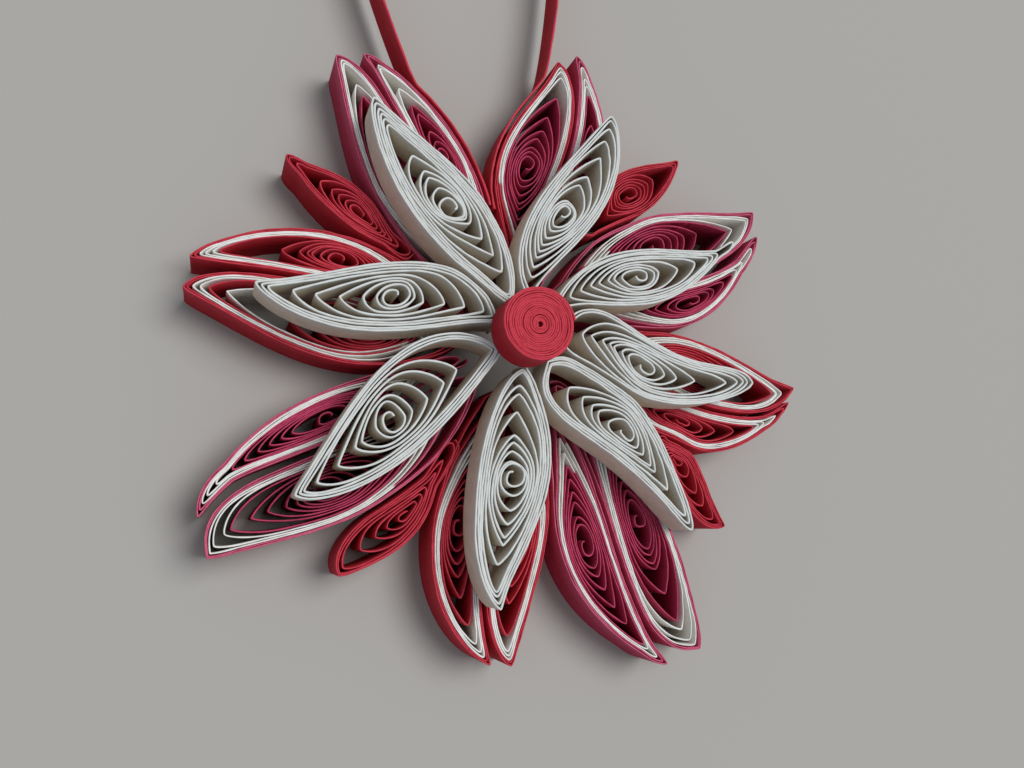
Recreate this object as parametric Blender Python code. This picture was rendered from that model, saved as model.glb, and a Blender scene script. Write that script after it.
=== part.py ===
"""A quilled paper flower ornament: rolled strips pinched into petals, lying face up, its hanging loop towards +Y.

Every petal is one strip of paper stood on edge, rolled into a loose coil and pinched to a point at both
ends. Sixteen of them, glued side by side in eight pairs with four small leaves between, make the base.
Eight cream petals lie on the base, and a tightly rolled disc lies on those. The loop is one more strip.
"""

import math
from collections import namedtuple

import bpy
import numpy as np
from mathutils import Matrix

MM = 0.001

# The strips. A layer of the flower is as high as its strip is wide.
PAPER_THICKNESS = 0.28 * MM
BASE_STRIP_WIDTH = 7.0 * MM
TOP_STRIP_WIDTH = 5.0 * MM
DISC_STRIP_WIDTH = 5.0 * MM
LOOP_STRIP_WIDTH = 5.0 * MM

# The film of glue, or of air, that is left between two pieces.
GLUE_GAP = 0.3 * MM

# The coils. The outer turns lie close together and stay pinched, and the inner ones are let loose.
TURN_PITCH = 0.42 * MM
BASE_PINCHED_TURNS = 1.6
TOP_PINCHED_TURNS = 1.2
LEAF_PINCHED_TURNS = 1.0
TURN_POINTS = 10
EYE_POINTS = 3
EYE_SIZE = 0.12
PINCHED_ROUNDNESS = 0.1
ROUNDING = 2.0
PINCH_BLUNTNESS = 0.62
OUTLINE_STATIONS = 33
PRESSING_PASSES = 30
PACKING_PASSES = 20

# Each layer's petals start on a ring round the middle of the flower.
BASE_ROOT_RADIUS = 7.0 * MM
TOP_ROOT_RADIUS = 4.0 * MM

# The rolled disc, with a few shallow grooves between its turns.
DISC_DIAMETER = 9.3 * MM
DISC_CENTRE = (-0.5 * MM, 0.2 * MM)
DISC_CORNER = 0.25 * MM
DISC_GROOVES = 3
DISC_GROOVE_WIDTH = 0.5 * MM
DISC_GROOVE_DEPTH = 0.25 * MM
DISC_SIDES = 20

# The hanging loop: two legs glued between two petals, level with their tops, and a round crown.
LOOP_TOP = 86.0 * MM
LOOP_CROWN_HEIGHT = 20.0 * MM
LOOP_CROWN_WIDTH = 31.0 * MM
LOOP_CROWN_SHIFT = 2.5 * MM
LOOP_LEG_BEND = 2.0 * MM
LOOP_CROWN_BEND = 8.0 * MM
LOOP_LEG_START = 0.30
LOOP_LEFT_LEAVES = 0.80
LOOP_RIGHT_LEAVES = 0.89
LOOP_LEG_POINTS = 7
LOOP_BEND_POINTS = 8
LOOP_CROWN_POINTS = 15

SMOOTH_BELOW = math.radians(50.0)

RED = (0.42, 0.008, 0.016, 1.0)
PINK = (0.40, 0.020, 0.075, 1.0)
CREAM = (0.72, 0.71, 0.66, 1.0)

# One petal: the bearing of its root, the reach in mm and bearing of its tip, how far in mm its left and right
# sides stand off the line from root to tip at a quarter, a half and three quarters of it, and the eye of its
# coil, as how far along that line it lies and how far it leans to the left side (1) or the right (-1).
# The number before the colour is how many turns its strip makes.
# Bearings are in degrees clockwise from the loop, and left and right are seen from the middle of the flower.
Petal = namedtuple("Petal", "root_bearing tip left right eye turns colour")

BASE_PETALS = (
    Petal(11, (41.3, 17.9), (4.0, 5.6, 3.1), (1.4, 3.3, 4.3), (0.51, 0.1), 5, RED),
    Petal(33, (43.2, 21.3), (0.6, -1.2, -1.8), (4.6, 7.4, 6.3), (0.50, 0.0), 4, PINK),
    Petal(56, (43.4, 68.4), (5.4, 6.1, 3.4), (1.0, 3.6, 4.7), (0.52, 0.3), 5, PINK),
    Petal(78, (42.3, 72.6), (1.2, -1.3, -2.5), (4.1, 7.7, 6.4), (0.57, 0.0), 4, PINK),
    Petal(101, (43.3, 104.0), (3.7, 4.3, 2.1), (2.7, 4.7, 5.5), (0.50, 0.0), 5, RED),
    Petal(123, (42.6, 106.5), (-0.4, -2.6, -3.7), (4.4, 9.0, 8.2), (0.50, 0.2), 4, RED),
    Petal(146, (47.4, 156.1), (4.9, 5.4, 3.7), (0.8, 2.8, 4.8), (0.53, 0.2), 5, PINK),
    Petal(168, (46.7, 162.0), (2.2, 0.8, -0.7), (3.1, 6.8, 6.2), (0.52, 0.0), 5, PINK),
    Petal(191, (40.9, 189.8), (4.7, 4.7, 2.6), (2.3, 3.5, 3.8), (0.50, 0.0), 5, RED),
    Petal(213, (40.7, 192.9), (-0.2, -1.3, -1.7), (5.8, 8.2, 7.5), (0.50, 0.0), 5, RED),
    Petal(236, (45.6, 242.4), (5.3, 6.1, 3.7), (2.3, 2.9, 4.7), (0.60, 0.3), 5, PINK),
    Petal(258, (44.3, 247.4), (0.2, 0.0, -1.7), (4.0, 6.1, 5.7), (0.50, 0.3), 4, PINK),
    Petal(281, (41.2, 284.6), (5.1, 5.5, 3.3), (3.0, 3.6, 3.6), (0.40, 0.3), 5, RED),
    Petal(303, (41.2, 289.5), (-0.6, -1.0, -0.8), (5.3, 7.3, 6.0), (0.50, 0.2), 5, RED),
    Petal(326, (43.5, 335.2), (4.2, 5.0, 3.1), (3.1, 3.1, 3.2), (0.50, 0.0), 5, PINK),
    Petal(348, (42.4, 339.6), (-0.3, -0.3, -0.4), (4.7, 6.1, 5.0), (0.54, 0.1), 5, PINK),
)
LEAF_ROOT_RADII = (15.8, 23.6, 15.2, 17.2)
LEAVES = (
    Petal(40.5, (38.1, 50.5), (2.4, 3.9, 2.6), (1.3, 2.8, 2.7), (0.60, 0.0), 4, RED),
    Petal(129.5, (38.8, 136.9), (2.7, 2.0, 0.7), (2.4, 3.1, 3.2), (0.50, 0.0), 4, RED),
    Petal(221.0, (36.8, 225.9), (2.1, 3.7, 2.9), (0.2, 1.6, 2.6), (0.50, -0.2), 4, RED),
    Petal(317.0, (37.1, 315.5), (1.9, 2.4, 1.7), (1.4, 2.6, 1.8), (0.42, 0.1), 4, RED),
)
TOP_PETALS = (
    Petal(22, (33.5, 30.2), (4.9, 4.4, 2.3), (1.5, 3.9, 4.2), (0.44, 0.3), 5, CREAM),
    Petal(67, (34.2, 72.2), (4.6, 4.0, 1.1), (1.4, 3.8, 3.2), (0.47, 0.2), 5, CREAM),
    Petal(112, (32.8, 107.4), (5.1, 2.5, 1.5), (4.0, 5.2, 4.2), (0.42, 0.0), 5, CREAM),
    Petal(150, (33.3, 147.0), (5.5, 5.5, 3.6), (3.8, 1.9, 0.8), (0.40, -0.2), 5, CREAM),
    Petal(198, (34.2, 194.3), (3.8, 4.2, 1.8), (4.3, 5.2, 4.7), (0.47, -0.1), 5, CREAM),
    Petal(247, (34.6, 243.6), (2.5, 4.0, 3.9), (6.7, 6.3, 3.5), (0.55, 0.1), 5, CREAM),
    Petal(292, (33.7, 286.4), (1.7, 3.6, 3.6), (6.3, 5.2, 2.4), (0.40, 0.1), 5, CREAM),
    Petal(337, (35.1, 334.6), (3.0, 4.4, 3.8), (4.4, 4.5, 2.4), (0.47, -0.3), 5, CREAM),
)


def clear_scene():
    for obj in list(bpy.data.objects):
        bpy.data.objects.remove(obj, do_unlink=True)


def paper_material(name, colour):
    material = bpy.data.materials.new(name)
    material.use_nodes = True
    shader = material.node_tree.nodes["Principled BSDF"]
    shader.inputs["Base Color"].default_value = colour
    shader.inputs["Roughness"].default_value = 0.85
    shader.inputs["Metallic"].default_value = 0.0
    return material


def place(reach, bearing):
    """The point of the flower's plane at this reach from its middle and this bearing from the loop."""
    angle = math.radians(bearing)
    return np.array([reach * math.sin(angle), reach * math.cos(angle)])


class Outline:
    """A petal's outer edge: how far its two sides stand off the line from its root to its tip."""

    def __init__(self, petal, root_radius):
        self.root = place(root_radius, petal.root_bearing)
        tip = place(petal.tip[0] * MM, petal.tip[1])
        self.length = np.linalg.norm(tip - self.root)
        self.along = (tip - self.root) / self.length
        self.across = np.array([-self.along[1], self.along[0]])
        self.stations = np.linspace(0.0, 1.0, OUTLINE_STATIONS)
        self.left = self.side(petal.left)
        self.right = self.side(petal.right)

    def side(self, bulges):
        """A pinched arch times the parabola that takes it through the three bulges."""
        quarters = np.array([0.25, 0.5, 0.75])
        curve = np.polyfit(quarters, np.array(bulges) * MM / pinched_arch(quarters), 2)
        return pinched_arch(self.stations) * np.polyval(curve, self.stations)

    def moved_in(self, distance):
        """How far the two sides stand off once moved in by this distance, which is more across a steep side."""
        places = self.stations * self.length
        left = self.left - distance * np.hypot(1.0, np.gradient(self.left, places))
        right = self.right - distance * np.hypot(1.0, np.gradient(self.right, places))
        return left, right

    def points(self, stations, offsets):
        """Points of the plane from places along the petal and distances to the left of its straight line."""
        return self.root + np.outer(stations * self.length, self.along) + np.outer(offsets, self.across)

    def ring(self):
        left = self.points(self.stations, self.left)
        right = self.points(self.stations, -self.right)
        return np.concatenate([left, right[-2:0:-1]])


def pinched_arch(stations):
    """1 in the middle and 0 at both ends, where it is nearly as steep as a wedge."""
    return (4.0 * stations * (1.0 - stations)) ** PINCH_BLUNTNESS


def chord_distances(points, start, end):
    """The distance from each point to each straight piece from a start to its end."""
    edge = end - start
    offset = points[:, None] - start[None]
    share = np.clip((offset * edge).sum(2) / (edge * edge).sum(1), 0.0, 1.0)
    return np.linalg.norm(offset - share[..., None] * edge, axis=2)


def clearance(points, ring):
    """How far each point lies outside a closed ring of points, and minus how far it lies inside."""
    start, end = ring, np.roll(ring, -1, axis=0)
    edge = end - start
    distance = chord_distances(points, start, end).min(1)
    spans = (start[None, :, 1] > points[:, None, 1]) != (end[None, :, 1] > points[:, None, 1])
    rise = np.where(edge[:, 1] == 0.0, 1.0, edge[:, 1])
    crossing = start[:, 0] + (points[:, None, 1] - start[:, 1]) * edge[:, 0] / rise
    inside = (spans & (points[:, None, 0] < crossing)).sum(1) % 2 == 1
    return np.where(inside, -distance, distance)


def press_together(outlines, gap_of):
    """Soft petals flatten where they meet: where two sides are nearer than their gap, each gives way by half."""
    for _ in range(PRESSING_PASSES):
        rings = [outline.ring() for outline in outlines]
        for i, outline in enumerate(outlines):
            left = outline.points(outline.stations, outline.left)
            right = outline.points(outline.stations, -outline.right)
            for j, ring in enumerate(rings):
                if j == i:
                    continue
                gap = gap_of(i, j)
                give_left = np.clip(gap - clearance(left, ring), 0.0, None) / 2
                give_right = np.clip(gap - clearance(right, ring), 0.0, None) / 2
                outline.left = outline.left - give_left
                outline.right = outline.right - give_right


def span_of(room, stations):
    """Where along the petal there is room for a turn, between the first and the last place."""
    inside = np.flatnonzero(room > 0.0)
    first, last = inside[0], inside[-1]
    root = np.interp(0.0, room[first - 1:first + 1], stations[first - 1:first + 1])
    tip = np.interp(0.0, -room[last:last + 2], stations[last:last + 2])
    return root, tip


def coil_line(outline, petal, pinched_turns):
    """The middle line of a rolled strip, from its glued outer end at the root to its loose end at the eye.

    A turn runs up the left side and down the right. Each pinched turn lies a pitch inside the one before.
    The turns after them draw in towards the eye by equal steps, from their two ends and from their sides.
    """
    eye_station, lean = petal.eye
    line = []
    for turn in np.linspace(0.0, petal.turns, petal.turns * TURN_POINTS + 1):
        looseness = max(0.0, (turn - pinched_turns) / (petal.turns - pinched_turns))
        fullness = 1.0 - (1.0 - EYE_SIZE) * looseness
        left, right = outline.moved_in(PAPER_THICKNESS / 2 + TURN_PITCH * min(turn, pinched_turns))
        root, tip = span_of(left + right, outline.stations)
        root = eye_station + (root - eye_station) * fullness
        tip = eye_station + (tip - eye_station) * fullness
        angle = 2.0 * math.pi * turn
        station = (root + tip) / 2 - (tip - root) / 2 * math.cos(angle)
        middle = np.interp(station, outline.stations, left - right) / 2
        room = np.interp(station, outline.stations, left + right) / 2
        sideways = round(math.sin(angle), 6)
        roundness = min(1.0, PINCHED_ROUNDNESS + ROUNDING * looseness)
        swing = math.copysign(abs(sideways) ** roundness * fullness, sideways)
        offset = middle + room * (swing + lean * (1.0 - fullness))
        line.append(outline.points(np.array([station]), np.array([offset]))[0])
    return packed(np.array(line))


def packed(line):
    """The line of a coil with each point drawn in towards its end until it lies a pitch inside the turn before."""
    eye = line[-1]
    for i in range(TURN_POINTS - 1, len(line) - EYE_POINTS):
        start, end = line[:i - TURN_POINTS + 2], line[1:i - TURN_POINTS + 3]
        for _ in range(PACKING_PASSES):
            inwards = (eye - line[i]) / np.linalg.norm(eye - line[i])
            short = TURN_PITCH - chord_distances(line[i:i + 1], start, end).min()
            line[i] += max(0.0, short) * inwards
    return line


def strip_object(name, line, width, bottom, material):
    """A strip of paper stood on edge along a line, as one closed solid."""
    forward = np.gradient(line, axis=0)
    forward /= np.linalg.norm(forward, axis=1)[:, None]
    sideways = np.stack([forward[:, 1], -forward[:, 0]], axis=1) * PAPER_THICKNESS / 2
    count = len(line)
    corners = [(line + sideways, bottom), (line + sideways, bottom + width)]
    corners += [(line - sideways, bottom + width), (line - sideways, bottom)]
    vertices = [(x, y, height) for side, height in corners for x, y in side]
    faces = [(0, count, 2 * count, 3 * count), tuple(k * count - 1 for k in (4, 3, 2, 1))]
    for side in range(4):
        here, there = side * count, (side + 1) % 4 * count
        faces += [(here + i, here + i + 1, there + i + 1, there + i) for i in range(count - 1)]
    return mesh_object(name, vertices, faces, material)


def mesh_object(name, vertices, faces, material):
    mesh = bpy.data.meshes.new(name)
    mesh.from_pydata(vertices, [], faces)
    mesh.materials.append(material)
    mesh.shade_smooth()
    mesh.set_sharp_from_angle(angle=SMOOTH_BELOW)
    obj = bpy.data.objects.new(name, mesh)
    bpy.context.scene.collection.objects.link(obj)
    return obj


def centre_on_floor():
    """Moves the whole ornament so that the middle of its bounding box's underside is at the origin."""
    meshes = [obj.data for obj in bpy.data.objects]
    corners = np.array([vertex.co for mesh in meshes for vertex in mesh.vertices])
    low, high = corners.min(0), corners.max(0)
    shift = Matrix.Translation((-(low[0] + high[0]) / 2, -(low[1] + high[1]) / 2, -low[2]))
    for mesh in meshes:
        mesh.transform(shift)


def bend(start, start_pull, end, end_pull):
    """A smooth bend between two places, leaving and arriving along its two pulls."""
    t = np.linspace(0.0, 1.0, LOOP_BEND_POINTS)[:, None]
    return (
        (1 - t) ** 3 * start
        + 3 * (1 - t) ** 2 * t * (start + start_pull)
        + 3 * (1 - t) * t**2 * (end - end_pull)
        + t**3 * end
    )


def glued_leg(outline, side, leaves):
    """The line of a leg glued along a petal's side (1 left, -1 right), from near the root to where it leaves."""
    stations = np.linspace(LOOP_LEG_START, leaves, LOOP_LEG_POINTS)
    offsets = outline.left if side > 0 else -outline.right
    line = outline.points(stations, np.interp(stations, outline.stations, offsets))
    forward = np.gradient(line, axis=0)
    forward /= np.linalg.norm(forward, axis=1)[:, None]
    outward = side * np.stack([-forward[:, 1], forward[:, 0]], axis=1)
    return line + outward * (GLUE_GAP + PAPER_THICKNESS / 2), forward[-1]


def loop_line(left_petal, right_petal):
    """Up one leg, round the crown, which is half an ellipse, and down the other leg."""
    left_leg, left_forward = glued_leg(left_petal, -1, LOOP_LEFT_LEAVES)
    right_leg, right_forward = glued_leg(right_petal, 1, LOOP_RIGHT_LEAVES)
    angle = np.linspace(math.pi, 0.0, LOOP_CROWN_POINTS)
    crown_foot = LOOP_TOP - LOOP_CROWN_HEIGHT
    crown = np.stack([
        LOOP_CROWN_SHIFT + LOOP_CROWN_WIDTH / 2 * np.cos(angle),
        crown_foot + LOOP_CROWN_HEIGHT * np.sin(angle),
    ], axis=1)
    upright = np.array([0.0, LOOP_CROWN_BEND])
    left_bend = bend(left_leg[-1], left_forward * LOOP_LEG_BEND, crown[0], upright)
    right_bend = bend(right_leg[-1], right_forward * LOOP_LEG_BEND, crown[-1], upright)
    return np.concatenate([left_leg, left_bend[1:], crown[1:-1], right_bend[:0:-1], right_leg[::-1]])


def build_layer(petals, root_radii, gap_of):
    outlines = [Outline(petal, radius) for petal, radius in zip(petals, root_radii)]
    press_together(outlines, gap_of)
    return outlines


def build_disc(bottom, material):
    """The tight roll: a turned piece whose top has a shallow groove between one group of turns and the next."""
    radius, top = DISC_DIAMETER / 2, bottom + DISC_STRIP_WIDTH
    profile = [(radius, bottom), (radius, top - DISC_CORNER), (radius - DISC_CORNER, top)]
    for groove in range(DISC_GROOVES, 0, -1):
        middle = radius * groove / (DISC_GROOVES + 1)
        profile += [(middle + DISC_GROOVE_WIDTH / 2, top), (middle, top - DISC_GROOVE_DEPTH),
                    (middle - DISC_GROOVE_WIDTH / 2, top)]
    vertices = [
        (DISC_CENTRE[0] + out * math.cos(turn), DISC_CENTRE[1] + out * math.sin(turn), height)
        for out, height in profile
        for turn in np.arange(DISC_SIDES) * 2.0 * math.pi / DISC_SIDES
    ]
    faces = []
    for ring in range(len(profile) - 1):
        for i in range(DISC_SIDES):
            here, beside = ring * DISC_SIDES + i, ring * DISC_SIDES + (i + 1) % DISC_SIDES
            faces.append((here, beside, beside + DISC_SIDES, here + DISC_SIDES))
    last = (len(profile) - 1) * DISC_SIDES
    faces += [tuple(range(DISC_SIDES - 1, -1, -1)), tuple(last + i for i in range(DISC_SIDES))]
    return mesh_object("centre_disc", vertices, faces, material)


def main():
    clear_scene()
    materials = {
        RED: paper_material("red_paper", RED),
        PINK: paper_material("pink_paper", PINK),
        CREAM: paper_material("cream_paper", CREAM),
    }

    first, last = 0, len(BASE_PETALS) - 1
    loop_gap = 3 * GLUE_GAP + 2 * PAPER_THICKNESS

    def base_gap(i, j):
        return loop_gap if {i, j} == {first, last} else GLUE_GAP

    base_radii = [BASE_ROOT_RADIUS] * len(BASE_PETALS) + [radius * MM for radius in LEAF_ROOT_RADII]
    base = build_layer(BASE_PETALS + LEAVES, base_radii, base_gap)
    for number, (petal, outline) in enumerate(zip(BASE_PETALS, base), start=1):
        line = coil_line(outline, petal, BASE_PINCHED_TURNS)
        strip_object(f"base_petal_{number:02d}", line, BASE_STRIP_WIDTH, 0.0, materials[petal.colour])
    for number, (petal, outline) in enumerate(zip(LEAVES, base[len(BASE_PETALS):]), start=1):
        line = coil_line(outline, petal, LEAF_PINCHED_TURNS)
        strip_object(f"leaf_{number}", line, BASE_STRIP_WIDTH, 0.0, materials[petal.colour])

    top_bottom = BASE_STRIP_WIDTH + GLUE_GAP
    top = build_layer(TOP_PETALS, [TOP_ROOT_RADIUS] * len(TOP_PETALS), lambda i, j: GLUE_GAP)
    for number, (petal, outline) in enumerate(zip(TOP_PETALS, top), start=1):
        line = coil_line(outline, petal, TOP_PINCHED_TURNS)
        strip_object(f"top_petal_{number}", line, TOP_STRIP_WIDTH, top_bottom, materials[petal.colour])

    build_disc(top_bottom + TOP_STRIP_WIDTH + GLUE_GAP, materials[RED])
    line = loop_line(base[last], base[first])
    loop_bottom = BASE_STRIP_WIDTH - LOOP_STRIP_WIDTH
    strip_object("hanging_loop", line, LOOP_STRIP_WIDTH, loop_bottom, materials[RED])
    centre_on_floor()


if __name__ == "__main__":
    main()
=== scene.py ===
"""Looks of the quilled paper flower ornament.

They are every turn of its rolled strips, their papers, the light and the camera.
"""

import math
from collections import namedtuple

import bpy
import numpy as np
from mathutils import Matrix, Vector


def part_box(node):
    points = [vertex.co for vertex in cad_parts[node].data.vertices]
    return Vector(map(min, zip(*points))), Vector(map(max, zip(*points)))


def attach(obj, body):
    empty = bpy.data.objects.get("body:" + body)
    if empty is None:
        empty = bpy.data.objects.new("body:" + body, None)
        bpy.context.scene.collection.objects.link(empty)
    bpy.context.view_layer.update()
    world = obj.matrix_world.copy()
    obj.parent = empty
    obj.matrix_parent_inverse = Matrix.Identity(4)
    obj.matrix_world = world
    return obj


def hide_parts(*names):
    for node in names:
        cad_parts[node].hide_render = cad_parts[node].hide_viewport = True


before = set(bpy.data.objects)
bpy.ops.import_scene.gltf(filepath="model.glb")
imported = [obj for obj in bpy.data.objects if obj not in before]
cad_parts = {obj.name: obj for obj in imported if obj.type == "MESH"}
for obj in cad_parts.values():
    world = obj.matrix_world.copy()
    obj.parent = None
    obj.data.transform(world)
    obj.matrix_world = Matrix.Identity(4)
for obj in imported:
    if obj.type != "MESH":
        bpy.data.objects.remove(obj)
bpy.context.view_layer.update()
MM = 0.001

# The lower layer's outlines. The real one is sixteen long rolls in eight pairs, with four small rolls
# between the pairs, all pinched at both ends and glued side by side while soft, so that each takes the
# shape its neighbours leave. Reaches and bulges are in mm about the flower's middle, bearings in degrees
# clockwise from the loop.
BASE_ROOT_RADIUS = 7.0
LEAF_ROOT_RADII = (15.8, 23.6, 15.2, 17.2)
GLUE_GAP = 0.3
LOOP_THICKNESS = 0.28

# An outline is worked out at this many stations, from bulges at the quarters of its length. Every eighth
# station is a point of the ring that neighbours are measured from. No slope of a side counts as more than
# the steepest.
OUTLINE_STATIONS = 257
BULGE_STATIONS = np.array([0.25, 0.5, 0.75])
PINCH_BLUNTNESS = 0.62
RING_STEP = 8
STEEPEST = 1.5

# Petals whose middles are this near, in mm, press on each other, in this many passes. What a place gives
# way is shared among the five places round it in these parts, because the paper is stiff.
NEIGHBOUR_REACH = 25.0
PRESSING_PASSES = 24
GIVING_WAY = np.array([1.0, 2.0, 3.0, 2.0, 1.0]) / 9.0

# An end is at least as wide as half an ellipse of this half-width and this length, in mm.
ROOT_ROUNDING = (0.35, 0.8)
BASE_TIP_ROUNDING = (1.2, 5.0)

# A petal's root, tip and bulges are those of the CAD model. After them comes its coil: the place of its
# eye, how far along the petal its successive turns bend at the tip end and at the root end, and how many
# turns it has. Each place along has a lean with it, to the petal's left (1) or right (-1).
Petal = namedtuple("Petal", "root_bearing tip left right eye tips roots turns")

BASE_PETALS = (
    Petal(11, (41.3, 17.9), (4.0, 5.6, 3.1), (1.4, 3.3, 4.3), (0.51, 0.3),
          ((1.0, 0), (0.99, 0), (0.969, 0), (0.945, 0), (0.921, 0), (0.826, 0), (0.736, 0.1), (0.669, 0),
           (0.63, 0.15), (0.59, 0.25)), (), 12),
    Petal(33, (43.2, 21.3), (0.6, -1.2, -1.8), (4.6, 7.4, 6.3), (0.50, 0.0),
          ((1.0, 0), (0.995, 0), (0.981, 0), (0.955, 0), (0.932, 0), (0.836, 0)), (), 10),
    Petal(56, (43.4, 68.4), (5.4, 6.1, 3.4), (1.0, 3.6, 4.7), (0.52, 0.4),
          ((1.0, 0), (0.99, 0), (0.957, 0), (0.945, 0), (0.864, 0), (0.84, 0), (0.70, 0.3)), (), 11),
    Petal(78, (42.3, 72.6), (1.2, -1.3, -2.5), (4.1, 7.7, 6.4), (0.57, 0.0),
          ((1.0, 0), (0.99, 0), (0.949, 0), (0.87, 0), (0.86, 0), (0.80, 0)), (), 10),
    Petal(101, (43.3, 104.0), (3.7, 4.3, 2.1), (2.7, 4.7, 5.5), (0.50, 0.0),
          ((1.0, 0), (0.98, 0), (0.927, 0), (0.915, 0), (0.90, 0), (0.885, 0)), (), 11),
    Petal(123, (42.6, 106.5), (-0.4, -2.6, -3.7), (4.4, 9.0, 8.2), (0.50, 0.2),
          ((1.0, 0), (0.98, 0), (0.924, 0), (0.90, 0), (0.874, 0), (0.837, 0), (0.733, 0)), (), 10),
    Petal(146, (47.4, 156.1), (4.9, 5.4, 3.7), (0.8, 2.8, 4.8), (0.53, 0.2),
          ((1.0, 0), (0.99, 0), (0.975, 0), (0.95, 0), (0.905, 0), (0.879, 0), (0.781, 0), (0.702, 0),
           (0.68, 0), (0.655, 0), (0.63, 0)), (), 12),
    Petal(168, (46.7, 162.0), (2.2, 0.8, -0.7), (3.1, 6.8, 6.2), (0.52, 0.0),
          ((1.0, 0), (0.985, 0), (0.963, 0), (0.945, 0), (0.892, 0), (0.80, 0), (0.737, 0), (0.666, 0),
           (0.625, 0), (0.594, 0)), (), 11),
    Petal(191, (40.9, 189.8), (4.7, 4.7, 2.6), (2.3, 3.5, 3.8), (0.50, 0.0),
          ((1.0, 0), (0.99, 0), (0.976, 0), (0.96, 0), (0.942, 0), (0.88, 0)), (), 11),
    Petal(213, (40.7, 192.9), (-0.2, -1.3, -1.7), (5.8, 8.2, 7.5), (0.50, 0.0),
          ((1.0, 0), (0.98, 0), (0.962, 0), (0.94, 0), (0.916, 0), (0.85, 0)), (), 11),
    Petal(236, (45.6, 242.4), (5.3, 6.1, 3.7), (2.3, 2.9, 4.7), (0.62, 0.35),
          ((1.0, 0), (0.99, 0), (0.983, 0), (0.96, 0), (0.915, 0), (0.896, 0),
           (0.832, 0), (0.78, 0)), (), 12),
    Petal(258, (44.3, 247.4), (0.2, 0.0, -1.7), (4.0, 6.1, 5.7), (0.50, 0.3),
          ((1.0, 0), (0.99, 0), (0.979, 0), (0.952, 0), (0.923, 0), (0.86, 0), (0.782, 0),
           (0.737, 0), (0.696, 0), (0.654, 0), (0.62, 0)), (), 12),
    Petal(281, (41.2, 284.6), (5.1, 5.5, 3.3), (3.0, 3.6, 3.6), (0.36, 0.4),
          ((1.0, 0), (0.985, 0), (0.96, 0), (0.932, 0), (0.902, 0), (0.851, 0), (0.62, 0.2)), (), 11),
    Petal(303, (41.2, 289.5), (-0.6, -1.0, -0.8), (5.3, 7.3, 6.0), (0.50, 0.2),
          ((1.0, 0), (0.99, 0), (0.969, 0), (0.943, 0), (0.918, 0), (0.897, 0), (0.693, 0)), (), 12),
    Petal(326, (43.5, 335.2), (4.2, 5.0, 3.1), (3.1, 3.1, 3.2), (0.50, 0.0),
          ((1.0, 0), (0.993, 0), (0.98, 0), (0.965, 0), (0.868, 0), (0.82, 0)), (), 10),
    Petal(348, (42.4, 339.6), (-0.3, -0.3, -0.4), (4.7, 6.1, 5.0), (0.53, 0.1),
          ((1.0, 0), (0.989, 0), (0.933, 0), (0.915, 0), (0.825, 0), (0.749, 0), (0.704, 0), (0.63, 0),
           (0.588, 0)), (), 10),
)
LEAVES = (
    Petal(40.5, (38.1, 50.5), (2.4, 3.9, 2.6), (1.3, 2.8, 2.7), (0.55, 0.0),
          ((1.0, 0), (0.98, 0), (0.94, 0), (0.75, 0)), ((0.0, 0), (0.02, 0), (0.05, 0), (0.34, 0)), 8),
    Petal(129.5, (38.8, 136.9), (2.7, 2.0, 0.7), (2.4, 3.1, 3.2), (0.24, 0.0),
          ((1.0, 0), (0.98, 0), (0.94, 0), (0.84, 0), (0.71, 0), (0.58, 0)), (), 8),
    Petal(221.0, (36.8, 225.9), (2.1, 3.7, 2.9), (0.2, 1.6, 2.6), (0.50, -0.2),
          ((1.0, 0), (0.98, 0), (0.95, 0)), (), 7),
    Petal(317.0, (37.1, 315.5), (1.9, 2.4, 1.7), (1.4, 2.6, 1.8), (0.42, 0.1),
          ((1.0, 0), (0.97, 0), (0.90, 0), (0.72, 0)), (), 8),
)


def place(reach, bearing):
    """The point at this reach from the flower's middle: reach times (sine, cosine) of its bearing."""
    angle = math.radians(bearing)
    return np.array([reach * math.sin(angle), reach * math.cos(angle)])


def pinched_arch(stations):
    """(4 s (1 - s)) to the power of the bluntness: 1 half-way, 0 at both ends, nearly as steep as a wedge."""
    return (4.0 * stations * (1.0 - stations)) ** PINCH_BLUNTNESS


class Outline:
    """A petal's outer edge: how far in mm its two sides stand off the line from its root to its tip."""

    def __init__(self, petal, root_radius):
        self.root = place(root_radius, petal.root_bearing)
        tip = place(*petal.tip)
        self.length = np.linalg.norm(tip - self.root)
        self.along = (tip - self.root) / self.length
        self.across = np.array([-self.along[1], self.along[0]])
        self.stations = np.linspace(0.0, 1.0, OUTLINE_STATIONS)
        self.left = self.side(petal.left)
        self.right = self.side(petal.right)

    def side(self, bulges):
        """The pinched arch times the parabola that takes it through its three bulges."""
        curve = np.polyfit(BULGE_STATIONS, np.array(bulges) / pinched_arch(BULGE_STATIONS), 2)
        return pinched_arch(self.stations) * np.polyval(curve, self.stations)

    def steepness(self, side):
        """How much further a side moves across when it moves in by 1 mm: the length of (1, slope)."""
        slope = np.gradient(side, self.stations * self.length)
        return np.hypot(1.0, np.clip(slope, -STEEPEST, STEEPEST))

    def points(self, stations, offsets):
        """root + station * length * along + offset * across."""
        return self.root + np.outer(stations * self.length, self.along) + np.outer(offsets, self.across)

    def ring(self):
        """A closed ring of points: the left side from root to tip, then the right side back to the root."""
        left = self.points(self.stations, self.left)[::RING_STEP]
        right = self.points(self.stations, -self.right)[::RING_STEP]
        return np.concatenate([left, right[-2:0:-1]])


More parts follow.
